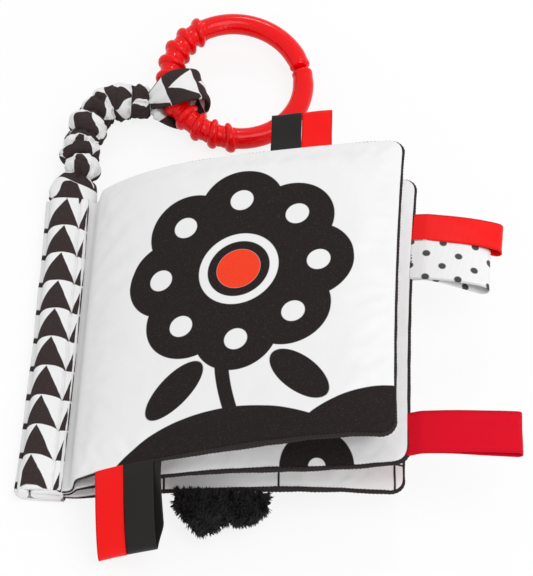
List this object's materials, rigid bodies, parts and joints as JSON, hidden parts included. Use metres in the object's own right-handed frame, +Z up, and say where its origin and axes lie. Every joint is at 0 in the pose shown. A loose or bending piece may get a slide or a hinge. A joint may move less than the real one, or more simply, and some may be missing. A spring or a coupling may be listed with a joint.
{
  "type": "cloth baby book",
  "caption": "Cloth baby book with padded leaves, a spine sleeve, ribbon tags, a plush tail and a gathered strap whose end loop holds a ribbed plastic ring.",
  "frame": {"origin": "centre of the spine sleeve's flat underside, on the surface that the book lies on", "axes": "+X from the spine to the leaves' free edges, +Y along the spine towards the strap, +Z up"},
  "size_m": [0.1755, 0.235, 0.0575],
  "materials": {
    "page_cloth": "printed smooth cloth",
    "inner_cloth": "printed smooth cloth",
    "wadding": "loose polyester wadding",
    "edging": "overlocked thread",
    "printed_fleece": "short fleece with a woven-look print",
    "elastic": "covered elastic cord",
    "ring_plastic": "glossy moulded plastic",
    "red_ribbon": "satin ribbon",
    "black_ribbon": "satin ribbon",
    "dotted_ribbon": "satin ribbon with small dark dots",
    "red_tape": "woven tape",
    "plush": "long-pile plush"
  },
  "bodies": {
    "spine": {"spine_sleeve": "printed_fleece", "front_leaf_margin": "page_cloth", "middle_leaf_margin": "page_cloth", "back_leaf_margin": "page_cloth", "strap_base": "printed_fleece", "middle_leaf_front_panel": "page_cloth", "middle_leaf_back_panel": "inner_cloth", "middle_leaf_wadding": "wadding", "middle_leaf_edging": "edging"},
    "front_leaf": {"front_leaf_front_panel": "page_cloth", "front_leaf_back_panel": "inner_cloth", "front_leaf_wadding": "wadding", "front_leaf_edging": "edging"},
    "back_leaf": {"back_leaf_front_panel": "page_cloth", "back_leaf_back_panel": "inner_cloth", "back_leaf_wadding": "wadding", "back_leaf_edging": "edging"},
    "strap_root": {"strap_lower": "printed_fleece", "elastic_lower": "elastic"},
    "strap_end": {"strap_upper": "printed_fleece", "elastic_upper": "elastic"},
    "end_loop": {"strap_loop": "printed_fleece"},
    "split_ring": {"ring": "ring_plastic"},
    "black_top": {"black_top_tag": "black_ribbon"},
    "red_top": {"red_top_tag": "red_ribbon"},
    "red_bottom": {"red_bottom_tag": "red_ribbon"},
    "black_bottom": {"black_bottom_tag": "black_ribbon"},
    "red_side": {"red_side_tag": "red_ribbon"},
    "dotted_side": {"dotted_side_tag": "dotted_ribbon"},
    "woven_side": {"woven_side_tag": "red_tape"},
    "tail": {"plush_tail": "plush"}
  },
  "joints": [
    {"name": "front_leaf_turn", "type": "hinge", "parent": "spine", "child": "front_leaf", "pos_m": [0.0145, 0, 0.0177], "axis": [0, -1, 0], "range_deg": [-5, 150]},
    {"name": "back_leaf_turn", "type": "hinge", "parent": "spine", "child": "back_leaf", "pos_m": [0.0145, 0, 0.0012], "axis": [0, 1, 0], "range_deg": [-4, 140]},
    {"name": "strap_root_bend", "type": "hinge", "parent": "spine", "child": "strap_root", "pos_m": [0.00382, 0.07255, 0.00733], "axis": [0.979, -0.204, 0], "range_deg": [-30, 30]},
    {"name": "strap_middle_bend", "type": "hinge", "parent": "strap_root", "child": "strap_end", "pos_m": [0.00591, 0.09876, 0.0076], "axis": [0, 0, 1], "range_deg": [-20, 25]},
    {"name": "loop_swing", "type": "hinge", "parent": "strap_end", "child": "end_loop", "pos_m": [0.02727, 0.10715, 0.00938], "axis": [0.373, -0.9191, -0.127], "range_deg": [-20, 60]},
    {"name": "ring_spin", "type": "hinge", "parent": "end_loop", "child": "split_ring", "pos_m": [0.0597, 0.1205, 0.0081], "axis": [0.0819, -0.1045, 0.9911], "continuous": true},
    {"name": "black_top_bend", "type": "hinge", "parent": "front_leaf", "child": "black_top", "pos_m": [0.08565, 0.06123, 0.04909], "axis": [0.9749, 0.015, 0.222], "range_deg": [-40, 60], "stiffness_Nm_per_rad": 0.0015},
    {"name": "red_top_bend", "type": "hinge", "parent": "front_leaf", "child": "red_top", "pos_m": [0.08565, 0.06123, 0.04909], "axis": [0.9749, 0.015, 0.222], "range_deg": [-40, 60], "stiffness_Nm_per_rad": 0.0015},
    {"name": "red_bottom_bend", "type": "hinge", "parent": "front_leaf", "child": "red_bottom", "pos_m": [0.03066, -0.06164, 0.02569], "axis": [-0.9019, -0.029, -0.431], "range_deg": [-8, 60], "stiffness_Nm_per_rad": 0.0015},
    {"name": "black_bottom_bend", "type": "hinge", "parent": "front_leaf", "child": "black_bottom", "pos_m": [0.03066, -0.06164, 0.02569], "axis": [-0.9019, -0.029, -0.431], "range_deg": [-6, 60], "stiffness_Nm_per_rad": 0.0015},
    {"name": "red_side_bend", "type": "hinge", "parent": "spine", "child": "red_side", "pos_m": [0.12944, 0.033, 0.03391], "axis": [-0.036, -0.9974, 0.063], "range_deg": [-35, 50], "stiffness_Nm_per_rad": 0.0015},
    {"name": "dotted_side_bend", "type": "hinge", "parent": "spine", "child": "dotted_side", "pos_m": [0.12944, 0.033, 0.03391], "axis": [-0.036, -0.9974, 0.063], "range_deg": [-35, 50], "stiffness_Nm_per_rad": 0.0015},
    {"name": "woven_side_bend", "type": "hinge", "parent": "spine", "child": "woven_side", "pos_m": [0.12859, -0.0488, 0.0395], "axis": [0.014, -0.9968, 0.079], "range_deg": [-35, 50], "stiffness_Nm_per_rad": 0.002},
    {"name": "plush_tail_bend", "type": "hinge", "parent": "back_leaf", "child": "tail", "pos_m": [0.06374, -0.06109, 0.01209], "axis": [-0.9919, -0.005, -0.127], "range_deg": [-25, 45], "stiffness_Nm_per_rad": 0.01}
  ]
}
